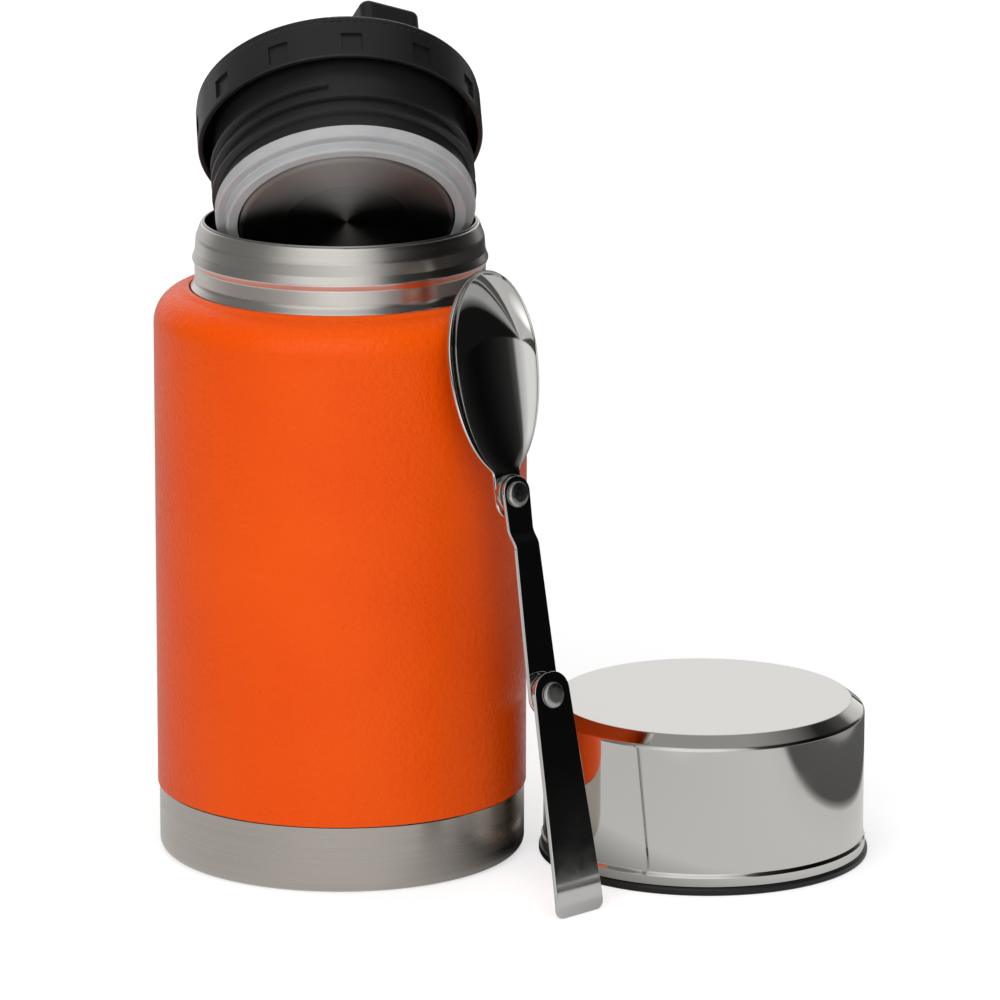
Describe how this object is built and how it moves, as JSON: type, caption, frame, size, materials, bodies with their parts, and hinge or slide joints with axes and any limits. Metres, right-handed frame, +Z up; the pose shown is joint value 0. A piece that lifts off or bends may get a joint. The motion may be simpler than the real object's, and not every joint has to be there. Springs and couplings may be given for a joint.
{
  "type": "insulated food jar",
  "caption": "Insulated steel food jar with orange coat, bare neck and foot band, screw-in stopper lying tilted in the mouth, separate drinking cup and a folding steel spoon leaning on the wall.",
  "frame": {"origin": "centre of the jar's foot, on the surface it stands on", "axes": "+Z up along the jar's own axis, +X towards the cup beside the jar, -Y towards the viewer and the spoon"},
  "size_m": [0.1927, 0.1223, 0.2325],
  "materials": {
    "orange_coat": "satin textured powder coat",
    "body_steel": "fine brushed stainless steel",
    "vessel_steel": "satin drawn stainless steel",
    "mirror_steel": "mirror polished stainless steel",
    "black_plastic": "satin black polypropylene",
    "gasket_silicone": "translucent white silicone",
    "foam": "moulded foam",
    "seal_metal": "dull solder bead",
    "getter_alloy": "matt sintered pellet"
  },
  "bodies": {
    "jar": {"outer_shell": "body_steel", "powder_coat": "orange_coat", "inner_flask": "vessel_steel", "base_plate": "vessel_steel", "vacuum_seal": "seal_metal", "getter": "getter_alloy", "base_cap": "body_steel"},
    "cup": {"cup_shell": "mirror_steel", "cup_bowl": "vessel_steel", "cup_ring": "black_plastic"},
    "gasket": {"stopper_gasket": "gasket_silicone"},
    "stopper": {"stopper_shell": "black_plastic", "stopper_cover": "black_plastic", "stopper_grip": "black_plastic", "stopper_foam": "foam", "stopper_pan": "vessel_steel"},
    "spoon_middle": {"spoon_link": "mirror_steel", "lower_washer": "mirror_steel", "upper_washer": "mirror_steel", "lower_rivet": "mirror_steel", "upper_rivet": "mirror_steel"},
    "spoon_scoop": {"spoon_bowl": "mirror_steel"},
    "spoon_end": {"spoon_handle": "mirror_steel"}
  },
  "joints": [
    {"name": "cup_lift", "type": "slide", "parent": "jar", "child": "cup", "axis": [0, 0, 1], "range_m": [0, 0.08]},
    {"name": "stopper_lift", "type": "slide", "parent": "jar", "child": "gasket", "axis": [0, 0, 1], "range_m": [0, 0.06]},
    {"name": "stopper_turn", "type": "hinge", "parent": "gasket", "child": "stopper", "pos_m": [0.0023, -0.018, 0.1752], "axis": [-0.0808, 0.7314, 0.6772], "continuous": true},
    {"name": "spoon_lift", "type": "slide", "parent": "jar", "child": "spoon_middle", "axis": [0, 0, 1], "range_m": [0, 0.08]},
    {"name": "bowl_fold", "type": "hinge", "parent": "spoon_middle", "child": "spoon_scoop", "pos_m": [0.0507, -0.0509, 0.10998], "axis": [0.6873, -0.7018, 0.1874], "range_deg": [0, 178]},
    {"name": "handle_fold", "type": "hinge", "parent": "spoon_middle", "child": "spoon_end", "pos_m": [0.05694, -0.05873, 0.05773], "axis": [0.6873, -0.7018, 0.1874], "range_deg": [-178, 0]}
  ]
}
